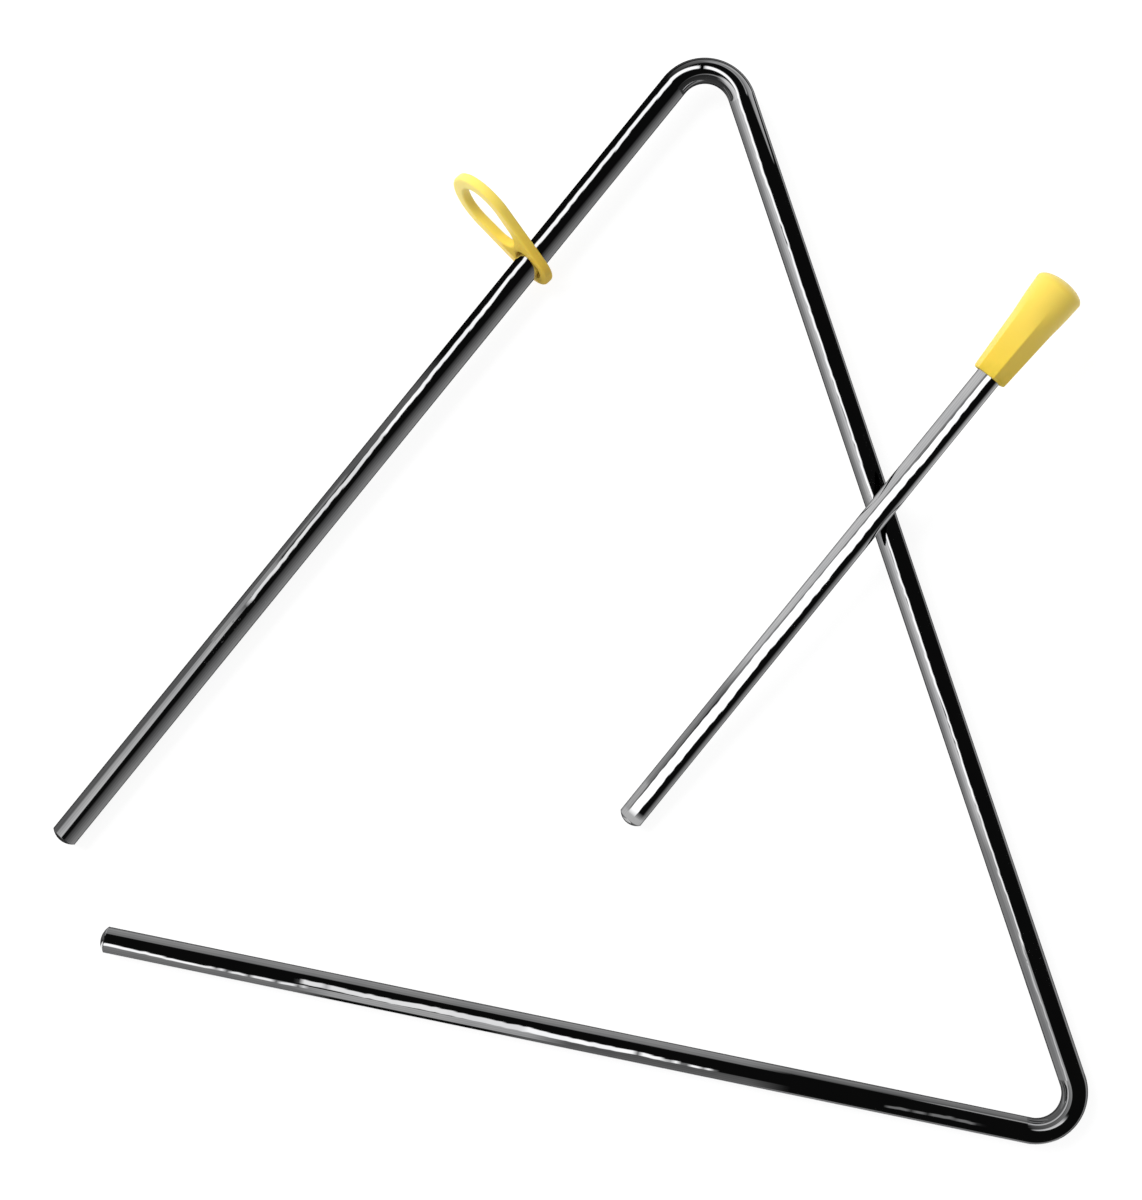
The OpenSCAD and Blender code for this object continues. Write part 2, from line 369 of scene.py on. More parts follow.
# The striker: rod and grip are drawn along Z, from where the tip's dome starts and from the mouth
def rod_mesh():
    rings = [circle(ROD_R * share, -rise) for share, rise in dome_profile(ROD_R, TIP_DOME)][::-1]
    length = MOUTH_AT + SOCKET_DEPTH
    steps = round(length / STRAIGHT_STEP)
    rings += [circle(ROD_R, length * i / steps) for i in range(1, steps + 1)]
    return closed_tube(rings, (0, 0, -TIP_DOME), (0, 0, length))


rod_points, rod_faces = rod_mesh()
rod = new_piece("rod_skin", rod_points, rod_faces, striker_place)
set_grain(rod, [(z, x, y) for x, y, z in rod_points])


def taper_radius(z):
    return MOUTH_R + (GRIP_END_R - MOUTH_R) * z / TAPER_LEN


def roundness(z):
    """0 where the grip is six-sided and 1 where it is round."""
    share = (z / TAPER_LEN - ROUND_FROM_SHARE) / (ROUND_BY_SHARE - ROUND_FROM_SHARE)
    t = min(1.0, max(0.0, share))
    return t * t * (3 - 2 * t)


def grip_ring(z, radius, mix):
    """A six-sided ring with softened corners that fades to round as mix goes to 1."""
    ring = []
    sector = math.pi / 3
    for i in range(GRIP_ROUND_STEPS):
        a = 2 * math.pi * i / GRIP_ROUND_STEPS
        flat = math.cos(sector / 2) / math.cos(a % sector - sector / 2)
        flat -= CORNER_SHARE * max(0.0, flat - CORNER_FROM_SHARE)
        size = radius * (mix + (1 - mix) * flat)
        ring.append((size * math.cos(a), size * math.sin(a), z))
    return ring


def mouth_rings():
    """The socket's wall, its lead-in and the bevel round the mouth."""
    rings = [
        circle(ROD_R, SOCKET_DEPTH, GRIP_ROUND_STEPS),
        circle(ROD_R, LEAD_IN, GRIP_ROUND_STEPS),
        circle(ROD_R + LEAD_W, 0, GRIP_ROUND_STEPS),
    ]
    for i in range(BEVEL_STEPS + 1):
        a = math.pi / 2 * i / BEVEL_STEPS
        z = MOUTH_BEVEL * (1 - math.cos(a))
        rings.append(grip_ring(z, taper_radius(0) - MOUTH_BEVEL * (1 - math.sin(a)), 0))
    return rings


def grip_mesh():
    rings = mouth_rings()
    for i in range(1, GRIP_STEPS + 1):
        z = MOUTH_BEVEL + (TAPER_LEN - MOUTH_BEVEL) * i / GRIP_STEPS
        rings.append(grip_ring(z, taper_radius(z), roundness(z)))
    for i in range(1, CROWN_STEPS):
        a = math.pi / 2 * i / CROWN_STEPS
        rings.append(circle(GRIP_END_R * math.cos(a), TAPER_LEN + CROWN_H * math.sin(a), GRIP_ROUND_STEPS))
    return closed_tube(rings, (0, 0, SOCKET_DEPTH), (0, 0, TAPER_LEN + CROWN_H))


grip = new_piece("grip_skin", *grip_mesh(), grip_place)


# The finger holder: a plate in X and Y between three outlines, each drawn in from the plate's
# faces by inset. The outer half has one point for each point of the hole's and the ring's half.
def arc(x, radius, start, end, steps, first=0):
    points = []
    for i in range(first, steps + 1):
        a = start + (end - start) * i / steps
        points.append((x + radius * math.cos(a), radius * math.sin(a)))
    return points


def on_side(x, inset):
    """The point of the plate's straight side at x."""
    return x, (RING_OUT_R - inset - x * math.cos(OUTER_TURN)) / math.sin(OUTER_TURN)


def hole_half(inset):
    points = arc(LOOP_X, HOLE_R + inset, 0, HOLE_TURN, FAR_STEPS)
    return points + arc(HOLE_TIP_X, HOLE_TIP_R + inset, HOLE_TURN, math.pi, HOLE_TIP_STEPS)


def ring_half(inset):
    points = arc(0, RING_R + inset, 0, OUTER_TURN, RING_STEPS)
    return points + arc(0, RING_R + inset, OUTER_TURN, math.pi, NEAR_STEPS, 1)


def outer_half(inset):
    points = arc(LOOP_X, LOOP_R - inset, 0, OUTER_TURN, FAR_STEPS)
    for x, _ in arc(HOLE_TIP_X, HOLE_TIP_R, HOLE_TURN, math.pi, HOLE_TIP_STEPS):
        points.append(on_side(x, inset))
    for i in range(RING_STEPS + 1):
        share = i / RING_STEPS
        spread = (RING_OUT_R - inset - RING_R) * math.cos(OUTER_TURN) * share
        points.append(on_side(RING_R * math.cos(OUTER_TURN * share) + spread, inset))
    return points + arc(0, RING_OUT_R - inset, OUTER_TURN, math.pi, NEAR_STEPS, 1)


def whole(half):
    return half + [(x, -y) for x, y in half[-2:0:-1]]


def outlines(inset):
    return [whole(half(inset)) for half in (outer_half, hole_half, ring_half)]


def edge_layers():
    """Height and inset of each layer of the plate, with both of its edges rounded."""
    lows = []
    for i in range(EDGE_STEPS + 1):
        a = math.pi / 2 * i / EDGE_STEPS
        lows.append((HOLDER_EDGE * (1 - math.cos(a)) - HOLDER_T / 2, HOLDER_EDGE * (1 - math.sin(a))))
    return lows + [(-z, inset) for z, inset in lows[::-1]]


def wall_faces(sizes, starts, layers):
    """Quads up the outside and up both holes."""
    faces = []
    for k in range(layers - 1):
        low = sum(sizes) * k
        for loop, size in enumerate(sizes):
            for i in range(size):
                a = starts[loop] + i + low
                b = starts[loop] + (i + 1) % size + low
                quad = (a, b, b + sum(sizes), a + sum(sizes))
                faces.append(quad if loop == 0 else quad[::-1])
    return faces


def flat_faces(sizes, starts, top):
    """Quads of both flat faces, from half of the outside to the same half of both holes."""
    def half_ids(loop, side):
        ids = range(sizes[loop] // 2 + 1)
        return [starts[loop] + (i if side > 0 else (sizes[loop] - i) % sizes[loop]) for i in ids]

    faces = []
    for side in (1, -1):
        outs = half_ids(0, side)
        ins = half_ids(1, side) + half_ids(2, side)
        for i in range(len(outs) - 1):
            quad = (outs[i], ins[i], ins[i + 1], outs[i + 1])[::side]
            faces.append(quad)
            faces.append(tuple(v + top for v in quad[::-1]))
    return faces


def holder_mesh():
    layers = edge_layers()
    points = [(x, y, z) for z, inset in layers for loop in outlines(inset) for x, y in loop]
    sizes = [len(loop) for loop in outlines(0)]
    starts = [0, sizes[0], sizes[0] + sizes[1]]
    top = sum(sizes) * (len(layers) - 1)
    return points, wall_faces(sizes, starts, len(layers)) + flat_faces(sizes, starts, top)


holder = new_piece("holder_skin", *holder_mesh(), holder_place)


# Node helpers
def new_material(name):
    """A material, its node tree and its shader."""
    material = bpy.data.materials.new(name)
    material.use_nodes = True
    tree = material.node_tree
    return material, tree, tree.nodes["Principled BSDF"]


def ramp(tree, place, stops):
    """A colour from (place, colour) stops."""
    node = tree.nodes.new("ShaderNodeValToRGB")
    elements = node.color_ramp.elements
    while len(elements) < len(stops):
        elements.new(0.5)
    for element, (at, colour) in zip(elements, stops):
        element.position = at
        element.color = (*colour, 1)
    tree.links.new(place, node.inputs["Fac"])
    return node.outputs["Color"]


def stored(tree, name, output="Vector"):
    """What the mesh stores under this name."""
    node = tree.nodes.new("ShaderNodeAttribute")
    node.attribute_name = name
    return node.outputs[output]


def noise(tree, places, scale, detail, along_scale=1):
    """Noise over the places, drawn out along the metal where along_scale is under 1."""
    stretch = tree.nodes.new("ShaderNodeMapping")
    stretch.inputs["Scale"].default_value = (along_scale, 1, 1)
    tree.links.new(places, stretch.inputs["Vector"])
    node = tree.nodes.new("ShaderNodeTexNoise")
    node.inputs["Scale"].default_value = scale
    node.inputs["Detail"].default_value = detail
    tree.links.new(stretch.outputs["Vector"], node.inputs["Vector"])
    return node.outputs["Fac"]


def combine(tree, operation, a, b):
    """What an operation makes of two values, each a number or a socket."""
    node = tree.nodes.new("ShaderNodeMath")
    node.operation = operation
    for socket, value in zip(node.inputs, (a, b)):
        if isinstance(value, (int, float)):
            socket.default_value = value
        else:
            tree.links.new(value, socket)
    return node.outputs["Value"]


def ranged(tree, value, span, to_span=(0, 1)):
    """The value with one span stretched onto another, and held at its ends."""
    node = tree.nodes.new("ShaderNodeMapRange")
    node.inputs["From Min"].default_value, node.inputs["From Max"].default_value = span
    node.inputs["To Min"].default_value, node.inputs["To Max"].default_value = to_span
    tree.links.new(value, node.inputs["Value"])
    return node.outputs["Result"]


def bumped(tree, shader, height, strength, depth):
    bump = tree.nodes.new("ShaderNodeBump")
    bump.inputs["Strength"].default_value = strength
    bump.inputs["Distance"].default_value = depth
    tree.links.new(height, bump.inputs["Height"])
    tree.links.new(bump.outputs["Normal"], shader.inputs["Normal"])


# Chrome: noises, each (waves a metre, detail, scale along the metal), tones from dull to pale,
# spans of the noises, and how rough and deep the marks are
LINE_NOISE = (2400, 3, 0.05)
DRIFT_NOISE = (260, 2, 0.35)
STAIN_NOISE = (150, 6)
SPECK_NOISE = (2100, 2, 0.6)
ZONE_NOISE = (26, 1)
CHROME_TONES = ((0.30, (0.69, 0.695, 0.71)), (0.62, (0.77, 0.77, 0.775)))
SPECK_SPAN = (0.64, 0.70)
ZONE_SPAN = (0.56, 0.66)
STAIN_SPAN = (0.35, 0.75)
CHROME_ROUGH = (0.03, 0.09)
WORN_ROUGH = 0.35
WORN_SINK = 3
DRIFT_SWELL = 9
POLISH_BUMP = 0.35
POLISH_DEPTH = 0.006 * MM


def chrome():
    """Polished plating with lengthwise polish lines, faint stains and a few worn specks."""
    material, tree, shader = new_material("chrome")
    shader.inputs["Metallic"].default_value = 1
    places = stored(tree, "grain")
    lines = noise(tree, places, *LINE_NOISE)
    drift = noise(tree, places, *DRIFT_NOISE)
    stain = noise(tree, places, *STAIN_NOISE)
    speck = noise(tree, places, *SPECK_NOISE)
    zone = noise(tree, places, *ZONE_NOISE)
    worn = combine(tree, "MULTIPLY", ranged(tree, speck, SPECK_SPAN), ranged(tree, zone, ZONE_SPAN))
    tone = ramp(tree, combine(tree, "SUBTRACT", stain, worn), CHROME_TONES)
    tree.links.new(tone, shader.inputs["Base Color"])
    gloss = ranged(tree, stain, STAIN_SPAN, CHROME_ROUGH)
    rough = combine(tree, "ADD", gloss, combine(tree, "MULTIPLY", worn, WORN_ROUGH))
    tree.links.new(rough, shader.inputs["Roughness"])
    height = combine(tree, "ADD", lines, combine(tree, "MULTIPLY", drift, DRIFT_SWELL))
    height = combine(tree, "SUBTRACT", height, combine(tree, "MULTIPLY", worn, WORN_SINK))
    bumped(tree, shader, height, POLISH_BUMP, POLISH_DEPTH)
    return material


# Plastic: its noises, how light goes into it, spans of its clouds, and the tones along the holder
# and the grip. The holder is darker towards the ring; the grip's darker tone at its mouth is painted shade
CLOUD_NOISE = (420, 3)
SATIN_NOISE = (5200, 2)
CLEAR_WEIGHT = 0.25
CLEAR_DEPTH = 1.5 * MM
CLEAR_SHARES = (1.0, 0.6, 0.2)
CLOUD_SPAN = (0.3, 0.7)
CLOUD_DRIFT = (-0.05, 0.05)
PLASTIC_ROUGH = (0.38, 0.50)
SATIN_BUMP = 0.25
SATIN_DEPTH = 0.01 * MM
HOLDER_SPAN = (-6 * MM, 24 * MM)
HOLDER_TONES = (
    (0.0, (0.78, 0.53, 0.05)),
    (0.22, (0.94, 0.64, 0.07)),
    (0.42, (1.0, 0.71, 0.09)),
    (0.95, (1.0, 0.80, 0.17)),
)
GRIP_SPAN = (0, 26 * MM)
# The first stops darken the grip at its mouth: painted shade, not the plastic's own colour
GRIP_TONES_WITH_MOUTH_SHADE = (
    (0.0, (0.80, 0.58, 0.05)),
    (0.14, (0.93, 0.66, 0.07)),
    (0.5, (0.96, 0.70, 0.10)),
    (1.0, (0.96, 0.72, 0.12)),
)


def plastic(name, axis, span, tones):
    """Moulded plastic with a soft satin grain, whose tone changes along one axis of the piece; on the grip
    the darker tone at the mouth is painted shade.
    """
    material, tree, shader = new_material(name)
    shader.inputs["Subsurface Weight"].default_value = CLEAR_WEIGHT
    shader.inputs["Subsurface Radius"].default_value = CLEAR_SHARES
    shader.inputs["Subsurface Scale"].default_value = CLEAR_DEPTH
    places = stored(tree, "drawn")
    split = tree.nodes.new("ShaderNodeSeparateXYZ")
    tree.links.new(places, split.inputs["Vector"])
    along = ranged(tree, split.outputs[axis], span)
    cloud = noise(tree, places, *CLOUD_NOISE)
    tone_at = combine(tree, "ADD", along, ranged(tree, cloud, CLOUD_SPAN, CLOUD_DRIFT))
    tree.links.new(ramp(tree, tone_at, tones), shader.inputs["Base Color"])
    tree.links.new(ranged(tree, cloud, CLOUD_SPAN, PLASTIC_ROUGH), shader.inputs["Roughness"])
    bumped(tree, shader, noise(tree, places, *SATIN_NOISE), SATIN_BUMP, SATIN_DEPTH)
    return material


steel_look = chrome()
holder_look = plastic("holder_plastic", "X", HOLDER_SPAN, HOLDER_TONES)
grip_look = plastic("grip_plastic", "Z", GRIP_SPAN, GRIP_TONES_WITH_MOUTH_SHADE)
for piece, look, slot, body, node in (
    (bar, steel_look, "chromed_steel", "triangle", "triangle_bar"),
    (rod, steel_look, "chromed_steel", "striker", "striker_rod"),
    (holder, holder_look, "yellow_plastic", "holder", "finger_holder"),
    (grip, grip_look, "yellow_plastic", "striker", "striker_grip"),
):
    piece.data.materials.append(look)
    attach(piece, body)
    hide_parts(node)


# Stage helpers
def glowing(name):
    """A material that only glows, with its tree and its glow node."""
    material = bpy.data.materials.new(name)
    material.use_nodes = True
    tree = material.node_tree
    tree.nodes.clear()
    glow = tree.nodes.new("ShaderNodeEmission")
    out = tree.nodes.new("ShaderNodeOutputMaterial")
    tree.links.new(glow.outputs["Emission"], out.inputs["Surface"])
    return material, tree, glow


def stage_mesh(name, points, faces, look, place=Matrix.Identity(4)):
    thing = new_piece(name, points, faces, place)
    thing.data.materials.append(look)
    return thing


def only_glossy(thing):
    """Lets the metal's reflections alone see this thing."""
    thing.visible_camera = False
    thing.visible_diffuse = False
    thing.visible_shadow = False
    thing.visible_transmission = False
    thing.visible_volume_scatter = False


# Floor: pale enough to show white, with a faint shadow
FLOOR_TONE = 0.26
FLOOR_GLOW = 0.87
FLOOR_HALF = 6.0


def floor():
    material, _, shader = new_material("floor")
    shader.inputs["Base Color"].default_value = (FLOOR_TONE, FLOOR_TONE, FLOOR_TONE, 1)
    shader.inputs["Roughness"].default_value = 1
    shader.inputs["Specular IOR Level"].default_value = 0
    shader.inputs["Emission Color"].default_value = (1, 1, 1, 1)
    shader.inputs["Emission Strength"].default_value = FLOOR_GLOW
    signs = ((-1, -1), (1, -1), (1, 1), (-1, 1))
    points = [(x * FLOOR_HALF, y * FLOOR_HALF, 0) for x, y in signs]
    stage_mesh("floor", points, [(0, 1, 2, 3)], material)


# Tent: a dome that the metal sees past its reflectors
TENT_R = 3.0
TENT_GLOW = 0.3
TENT_ROUND = 48
TENT_RISE = 12


def tent():
    rings = []
    for k in range(TENT_RISE):
        a = math.pi / 2 * k / TENT_RISE
        rings.append(circle(TENT_R * math.cos(a), TENT_R * math.sin(a), TENT_ROUND))
    points = [p for ring in rings for p in ring] + [(0, 0, TENT_R)]
    faces = tube_faces(TENT_RISE, TENT_ROUND)
    base, top = len(points) - 1 - TENT_ROUND, len(points) - 1
    for i in range(TENT_ROUND):
        faces.append((base + i, base + (i + 1) % TENT_ROUND, top))
    material, _, glow = glowing("tent")
    glow.inputs["Strength"].default_value = TENT_GLOW
    only_glossy(stage_mesh("tent", points, faces, material))


floor()
tent()

# Reflectors: a sleeve follows the bar and another the rod, and only the metal sees them, so their
# glow paints the metal's reflections: its highlights, grey bands and dark bands. Their glow is dark
# but for cards and stripes, each (from, to, edges at from, edges at to, glow). From and to are
# millimetres along the metal from its sharp corner or its tip, and in a bend percent of the bend.
# Edges are shares across the metal as a viewer overhead sees it, from -1 at the inner edge to 1 at
# the outer edge. A card has one glow at each edge. A stripe has one glow, and its edges are uneven.
HOLDER_CARDS = (
    (-20, 128, (0.52, 1.0), (0.52, 1.0), (0.13, 0.12)),
    (-20, 60, (0.04, 0.60), (0.22, 0.56), (0.60, 0.36)),
    (56, 78, (0.42, 0.70), (0.42, 0.70), (0.33, 0.33)),
    (78, 102, (0.56, 0.70), (0.56, 0.70), (0.25, 0.25)),
    (-20, 116, (-1.0, -0.20), (-1.0, -0.13), (0.30, 0.03)),
    (116, 240, (-1.0, -0.13), (-1.0, -0.42), (0.29, 0.012)),
)
HOLDER_STRIPES = (
    (68, 116, (0.19, 0.41), (0.26, 0.50), 1.0),
    (116, 145, (0.26, 0.50), (0.32, 0.57), 1.3),
    (145, 240, (0.32, 0.57), (0.33, 0.57), 1.3),
)
CLOSED_CARDS = (
    (-10, 270, (-1.0, -0.74), (-1.0, -0.74), (0.18, 0.27)),
    (-10, 192, (-0.76, -0.33), (-0.76, -0.33), (0.27, 0.75)),
    (192, 270, (-0.76, -0.26), (-0.76, -0.26), (0.20, 0.42)),
    (-10, 120, (0.88, 1.0), (0.88, 1.0), (0.35, 0.45)),
    (120, 270, (0.88, 1.0), (0.80, 1.0), (0.24, 0.34)),
    (6, 30, (0.40, 0.82), (0.66, 0.72), (0.26, 0.55)),
)
CLOSED_STRIPES = (
    (-10, 180, (-0.34, -0.19), (-0.32, -0.20), 1.4),
    (180, 214, (-0.32, -0.20), (-0.35, -0.25), 1.2),
    (214, 252, (-0.42, -0.34), (-0.46, -0.38), 0.75),
)
LOW_CARDS = (
    (-10, 78, (0.80, 1.0), (0.80, 1.0), (0.22, 0.22)),
    (-10, 78, (-1.0, -0.60), (-1.0, -0.60), (0.30, 0.10)),
    (-10, 34, (-0.60, -0.52), (-0.60, -0.56), (0.45, 0.50)),
    (78, 240, (-1.0, -0.52), (-1.0, -0.52), (0.36, 0.20)),
    (78, 128, (0.34, 1.0), (0.34, 1.0), (0.10, 0.14)),
    (128, 182, (0.30, 0.72), (0.30, 0.72), (0.44, 0.40)),
    (182, 240, (0.34, 1.0), (0.34, 1.0), (0.24, 0.16)),
)
LOW_STRIPES = (
    (26, 46, (0.16, 0.34), (0.16, 0.34), 0.20),
    (86, 112, (0.20, 0.34), (0.09, 0.38), 1.3),
    (112, 130, (0.09, 0.38), (-0.04, 0.33), 1.3),
    (130, 180, (-0.06, 0.32), (-0.10, 0.20), 1.0),
    (180, 205, (0.34, 0.50), (0.30, 0.46), 1.1),
    (205, 240, (0.30, 0.46), (0.18, 0.36), 1.3),
)
TOP_BEND_CARDS = (
    (-10, 70, (-1.0, -0.30), (-1.0, -0.40), (0.06, 0.02)),
    (68, 110, (-0.56, -0.26), (-0.84, -0.30), (0.50, 0.85)),
    (48, 110, (0.58, 0.64), (0.78, 0.86), (0.50, 0.55)),
    (52, 110, (0.52, 0.57), (0.34, 0.42), (0.40, 0.45)),
)
LOW_BEND_CARDS = (
    (-10, 110, (-1.0, -0.44), (-1.0, -0.44), (0.14, 0.10)),
    (-10, 96, (-0.60, -0.46), (-0.58, -0.52), (0.45, 0.65)),
    (56, 84, (-0.24, -0.04), (-0.22, -0.14), (0.55, 0.90)),
    (0, 70, (0.90, 1.0), (0.88, 1.0), (0.10, 0.22)),
)
ROD_CARDS = (
    (3, 45, (0.50, 1.0), (0.56, 1.0), (0.15, 0.40)),
    (45, 130, (0.57, 1.0), (0.30, 1.0), (0.60, 0.66)),
    (40, 130, (0.42, 0.56), (0.18, 0.32), (0.22, 0.24)),
    (3, 80, (-1.0, -0.60), (-1.0, -0.60), (0.42, 0.0)),
    (-20, 0.9, (-1.0, 1.0), (-1.0, 1.0), (0.50, 0.55)),
    (2, 8, (0.56, 1.0), (0.56, 1.0), (0.42, 0.5)),
    (80, 130, (-1.0, -0.64), (-1.0, -0.64), (0.75, 0.0)),
)
ROD_STRIPES = (
    (2.0, 66, (-0.20, 0.46), (-0.20, 0.43), 1.5),
    (66, 112, (-0.20, 0.43), (-0.20, 0.20), 1.5),
    (112, 130, (-0.20, 0.20), (-0.18, 0.16), 1.5),
)

# Stretches of the low leg where dark ticks break its stripe up. The ticks' beat is a wave of
# this many radians a millimetre, with a drift in its phase and a second wave added, each (size,
# radians a millimetre). A tick stands where the beat lies in its span.
LOW_TICKS = ((0, 50), (76, 108), (174, 202))
TICK_RATE = 3.9
TICK_DRIFT = (0.8, 1.3)
TICK_SECOND = (0.7, 1.7)
TICK_SECOND_START = 1
TICK_SPAN = (0.55, 3.0)
TICK_SOFT = 0.5
TICK_DARK_SHARE = 0.85

# Reflectors of each leg, from the holder's leg to the low leg, and of the bend after it
LEG_REFLECTORS = (
    (HOLDER_CARDS, HOLDER_STRIPES, ()),
    (CLOSED_CARDS, CLOSED_STRIPES, ()),
    (LOW_CARDS, LOW_STRIPES, LOW_TICKS),
)
BEND_CARDS = (TOP_BEND_CARDS, LOW_BEND_CARDS)
PERCENT = 100

# Glow of the sleeves between the reflectors, how soft the reflectors' edges and ends are, from
# which length a card's ends are softer, and the fine streaks along a card
DARK = 0.004
EDGE_SOFT_SHARE = 0.035
END_SOFT = 1.2
LONG_CARD = 25
LONG_SOFT = 9
STREAK_SHARE = 0.10
STREAK_RATE = 41
STREAK_DRIFT = 1.5
STREAK_RUN = 13

# The darker band along both edges of the sleeves' glow, which the metal mirrors as a dark line at its
# edges: a painted reflection
RIM_SHARE = 0.93
RIM_SOFT_SHARE = 0.07
RIM_DARK_SHARE = 0.7

# Waves of a stripe's edges: share across, millimetres a radian and start, and for the quick ones
# also the millimetres a radian and the start of the wave that swells them. The far edge follows
# the near one by a share.
SLOW_WAVES = ((0.026, 6.1, 0.0), (0.022, 3.7, 1.7))
QUICK_WAVES = ((0.022, 1.6, 9.7, 0.6), (0.030, 1 / 1.9, 5.3, 2.0))
FOLLOW_SHARE = 0.6

# Where the notch in the top bend's stripe lies, as shares of the bend
NOTCH_SHARES = (0.36, 0.42)
NOTCH_SOFT_SHARE = 0.03

# Glow ahead of the low leg's tip: dark but for its inner edge
LOW_TIP_EDGE_SHARE = -0.5
LOW_TIP_DARK = 0.02
LOW_TIP_GLOW = 0.5
LOW_TIP_ROOM = 1 * MM

# Sizes of the sleeves: how far they run past the metal, in millimetres for the rod, degrees
# between their columns, how far under the bar's middle they may reach, and the degrees by which
# the viewer's rays lean across the metal
BAR_SLEEVE_R = 8 * MM
ROD_SLEEVE_R = 3.7 * MM
BAR_PAST = 2 * BAR_SLEEVE_R
ROD_BEFORE = 20
ROD_PAST = 4
ROD_STEP = 0.8
SLEEVE_STEP = 2.5
SLEEVE_DROP = 2.95 * MM
BAR_LEAN = 7
ROD_LEAN = -4

# The card on the floor under the rod's tip, in the rod's frame
TIP_CARD_START = -17 * MM
TIP_CARD_END = 9 * MM
TIP_CARD_HALF = 7 * MM
TIP_CARD_Z = 0.05 * MM
TIP_CARD_GLOW = 0.55


def card_material():
    """Glows as its mesh stores it, on its front alone."""
    material, tree, glow = glowing("card")
    side = tree.nodes.new("ShaderNodeNewGeometry")
    front = combine(tree, "SUBTRACT", 1, side.outputs["Backfacing"])
    level = combine(tree, "MULTIPLY", stored(tree, "glow", "Fac"), front)
    tree.links.new(level, glow.inputs["Strength"])
    return material


card_look = card_material()


def reflector(name, points, faces, glows, place=Matrix.Identity(4)):
    card = stage_mesh(name, points, faces, card_look, place)
    level = card.data.attributes.new("glow", "FLOAT", "POINT")
    level.data.foreach_set("value", glows)
    only_glossy(card)


def clamped(value):
    return max(0.0, min(1.0, value))


def between(a, b, share):
    return a + (b - a) * share


def within(value, low, high, soft):
    """1 inside low to high and 0 outside, with straight ramps centred on both edges."""
    return clamped((value - low) / soft + 0.5) * clamped((high - value) / soft + 0.5)


def edges_at(card, along):
    """The two edges of a card or stripe at this place along it."""
    start, end, first, last, _ = card
    share = clamped((along - start) / (end - start))
    return between(first[0], last[0], share), between(first[1], last[1], share)


def ends_at(card, along, soft):
    """1 along a card or stripe and 0 past it, with ramps that lie outside its ends."""
    start, end = card[:2]
    return within(along, start - soft / 2, end + soft / 2, soft)


def carded(level, cards, along, across):
    """The level after each card that covers this place is laid over it."""
    for card in cards:
        ends = ends_at(card, along, LONG_SOFT if card[1] - card[0] > LONG_CARD else END_SOFT)
        if ends == 0:
            continue
        low, high = edges_at(card, along)
        phase = STREAK_RATE * across + STREAK_DRIFT * math.sin(along / STREAK_RUN)
        glow = between(*card[4], clamped((across - low) / (high - low)))
        glow *= 1 + STREAK_SHARE * math.sin(phase)
        level = between(level, glow, ends * within(across, low, high, EDGE_SOFT_SHARE))
    return level


def wobble(along):
    """A small uneven drift of a stripe's edges along the metal."""
    drift = 0.0
    for size, length, start in SLOW_WAVES:
        drift += size * math.sin(along / length + start)
    for size, length, swell, start in QUICK_WAVES:
        drift += size * math.sin(along / length) * math.sin(along / swell + start)
    return drift


def tick(stretches, along):
    """How much darker a stripe is here, where ticks break it up."""
    if not any(start < along < end for start, end in stretches):
        return 0.0
    (drift, drift_rate), (second, second_rate) = TICK_DRIFT, TICK_SECOND
    beat = math.sin(along * TICK_RATE + drift * math.sin(along * drift_rate))
    beat += second * math.sin(along * second_rate + TICK_SECOND_START)
    return TICK_DARK_SHARE * within(beat, *TICK_SPAN, TICK_SOFT)


def striped(level, stripes, ticks, along, across):
    """The level after each stripe that covers this place is laid over it."""
    shift = wobble(along)
    lit_share = 1 - tick(ticks, along)
    for stripe in stripes:
        ends = ends_at(stripe, along, END_SOFT)
        if ends == 0:
            continue
        low, high = edges_at(stripe, along)
        cover = ends * within(across, low + shift, high + FOLLOW_SHARE * shift, EDGE_SOFT_SHARE)
        level = between(level, stripe[4] * lit_share, cover)
    return level


def turned_stripe(level, share, across):
    """The level after the stripe that goes round the top bend, with its notch, is laid over it."""
    first, last, glow = HOLDER_STRIPES[-1][3], CLOSED_STRIPES[0][2], CLOSED_STRIPES[0][4]
    low, high = between(first[0], last[0], share), between(first[1], last[1], share)
    lit = glow * (1 - within(share, *NOTCH_SHARES, NOTCH_SOFT_SHARE))
    return between(level, lit, within(across, low, high, EDGE_SOFT_SHARE))


def leg_glow(cards, stripes, ticks, along):
    """Glow by share across, on the straight."""
    return lambda across: striped(carded(DARK, cards, along, across), stripes, ticks, along, across)


def bend_glow(leg, along, share):
    """Glow by share across in the bend after a leg, where the cards of both legs cross over."""
    before, after = LEG_REFLECTORS[leg][0], LEG_REFLECTORS[leg + 1][0]
    next_along = LEG_RUNS[leg + 1][0] / MM

    def glow(across):
        first = carded(DARK, before, along, across)
        second = carded(DARK, after, next_along, across)
        level = carded(between(first, second, share), BEND_CARDS[leg], PERCENT * share, across)
        return turned_stripe(level, share, across) if leg == 0 else level

    return glow


def low_tip_glow(across):
    return LOW_TIP_DARK if across > LOW_TIP_EDGE_SHARE else LOW_TIP_GLOW


def rimmed(level, across):
    """The level with the darker band at both edges, a painted reflection that draws a dark line along the
    metal's outline.
    """
    return level * (1 - RIM_DARK_SHARE * (1 - within(across, -RIM_SHARE, RIM_SHARE, RIM_SOFT_SHARE)))


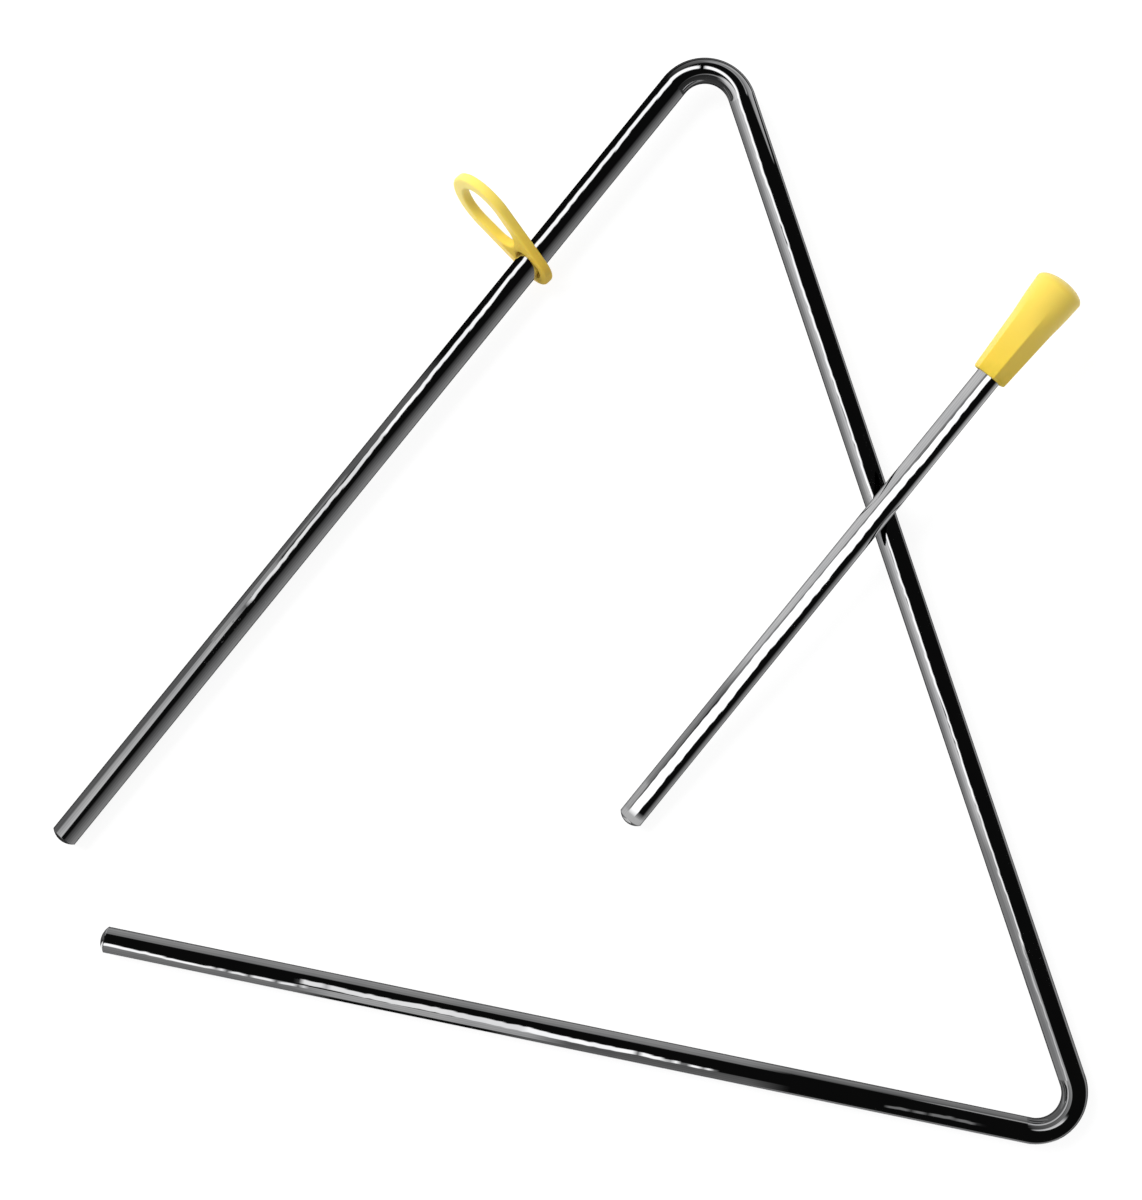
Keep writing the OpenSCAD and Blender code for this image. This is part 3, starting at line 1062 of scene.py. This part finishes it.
def sleeve_columns(radius, sleeve_r, lean, drop=0):
    """Share across, and place sideways and up, of each column of a sleeve round this metal.

    A ray from overhead that meets the metal at the share is mirrored to the column."""
    columns = []
    first = -180 - lean + SLEEVE_STEP
    last = 180 - lean - SLEEVE_STEP
    count = round((last - first) / SLEEVE_STEP)
    for k in range(count + 1):
        way = math.radians(between(first, last, k / count))
        normal = (way + math.radians(lean)) / 2
        off = radius * math.sin(way - normal)
        far = math.sqrt(sleeve_r * sleeve_r - off * off) - radius * math.cos(way - normal)
        if drop and math.cos(way) < 0:
            far = min(far, (drop + radius * math.cos(normal)) / -math.cos(way))
        side = radius * math.sin(normal) + far * math.sin(way)
        up = radius * math.cos(normal) + far * math.cos(way)
        columns.append((math.sin(normal), side, up))
    return columns


def sleeve(name, rows, columns, place):
    """A closed sleeve that faces inwards, from rows of (point, heading, glow by share across)."""
    points, glows = [], []
    for at, way, glow in rows:
        out = heading(way + math.pi / 2)
        for across, side, up in columns:
            points.append((*(at + out * side), up))
            glows.append(rimmed(glow(across), across))
    count = len(columns)
    faces = tube_faces(len(rows), count)
    last = (len(rows) - 1) * count
    for i in range(1, count - 1):
        faces.append((0, i + 1, i))
        faces.append((last, last + i, last + i + 1))
    reflector(name, points, faces, glows, place)


def moved(row, distance, glow):
    """A row that stands ahead of this one, or behind it where the distance is below zero."""
    return row[0] + distance * heading(row[1]), row[1], glow


def bar_sleeve():
    rows = []
    for station in bar_stations():
        along = station.along / MM
        if station.share:
            glow = bend_glow(station.leg, along, station.share)
        else:
            glow = leg_glow(*LEG_REFLECTORS[station.leg], along)
        rows.append((station.at, station.way, glow))
    ahead = [moved(rows[-1], distance, low_tip_glow) for distance in (LOW_TIP_ROOM, BAR_PAST)]
    rows = [moved(rows[0], -BAR_PAST, rows[0][2])] + rows + ahead
    sleeve("bar_sleeve", rows, sleeve_columns(SKIN_R, BAR_SLEEVE_R, BAR_LEAN, SLEEVE_DROP), bar_place)


# The rod's frame: X along it, Y to its left and Z up
rod_frame = striker_place @ Matrix.Rotation(-math.pi / 2, 4, "Y")


def rod_sleeve():
    start, end = -ROD_BEFORE, MOUTH_AT / MM + ROD_PAST
    count = round((end - start) / ROD_STEP)
    rows = []
    for k in range(count + 1):
        along = between(start, end, k / count)
        glow = leg_glow(ROD_CARDS, ROD_STRIPES, (), along)
        rows.append((np.array((along * MM, 0.0)), 0.0, glow))
    sleeve("rod_sleeve", rows, sleeve_columns(ROD_R, ROD_SLEEVE_R, ROD_LEAN), rod_frame)


def tip_card():
    spots = []
    for x, sign in ((TIP_CARD_START, -1), (TIP_CARD_END, -1), (TIP_CARD_END, 1), (TIP_CARD_START, 1)):
        spot = rod_frame @ Vector((x, sign * TIP_CARD_HALF, 0))
        spots.append((spot.x, spot.y, TIP_CARD_Z))
    reflector("tip_card", spots, [(0, 1, 2, 3)], [TIP_CARD_GLOW] * len(spots))


bar_sleeve()
rod_sleeve()
tip_card()

# The world lights the plastic softly, and is plain white where it is seen
SKY_GLOW = 0.42
SEEN_GLOW = 1


def world():
    sky = bpy.data.worlds.new("World")
    bpy.context.scene.world = sky
    sky.use_nodes = True
    tree = sky.node_tree
    path = tree.nodes.new("ShaderNodeLightPath")
    seen = combine(tree, "MAXIMUM", path.outputs["Is Camera Ray"], path.outputs["Is Glossy Ray"])
    seen = combine(tree, "MAXIMUM", seen, path.outputs["Is Transmission Ray"])
    background = tree.nodes["Background"]
    background.inputs["Color"].default_value = (1, 1, 1, 1)
    strength = ranged(tree, seen, (0, 1), (SKY_GLOW, SEEN_GLOW))
    tree.links.new(strength, background.inputs["Strength"])


# The key lamp stands high on the left and shines at the origin
KEY_SIZE = 0.8
KEY_POWER = 14
KEY_AT = Vector((-0.85, 0.45, 0.85))


def key_lamp():
    light = bpy.data.lights.new("key", "AREA")
    light.size = KEY_SIZE
    light.energy = KEY_POWER
    lamp = bpy.data.objects.new("key", light)
    lamp.location = KEY_AT
    lamp.rotation_euler = (-KEY_AT).to_track_quat("-Z", "Y").to_euler()
    lamp.visible_glossy = False
    bpy.context.scene.collection.objects.link(lamp)


# The camera looks straight down
SENSOR = 36
LENS = 78
CAMERA_AT = Vector((-16.40, -12.93, 581.8)) * MM
CAMERA_TURN = math.radians(11.69)


def camera():
    eye = bpy.data.objects.new("camera", bpy.data.cameras.new("camera"))
    eye.data.sensor_width = SENSOR
    eye.data.lens = LENS
    eye.location = CAMERA_AT
    eye.rotation_euler = (0, 0, CAMERA_TURN)
    bpy.context.scene.collection.objects.link(eye)
    bpy.context.scene.camera = eye


world()
key_lamp()
camera()
bpy.context.scene.view_settings.view_transform = "Standard"
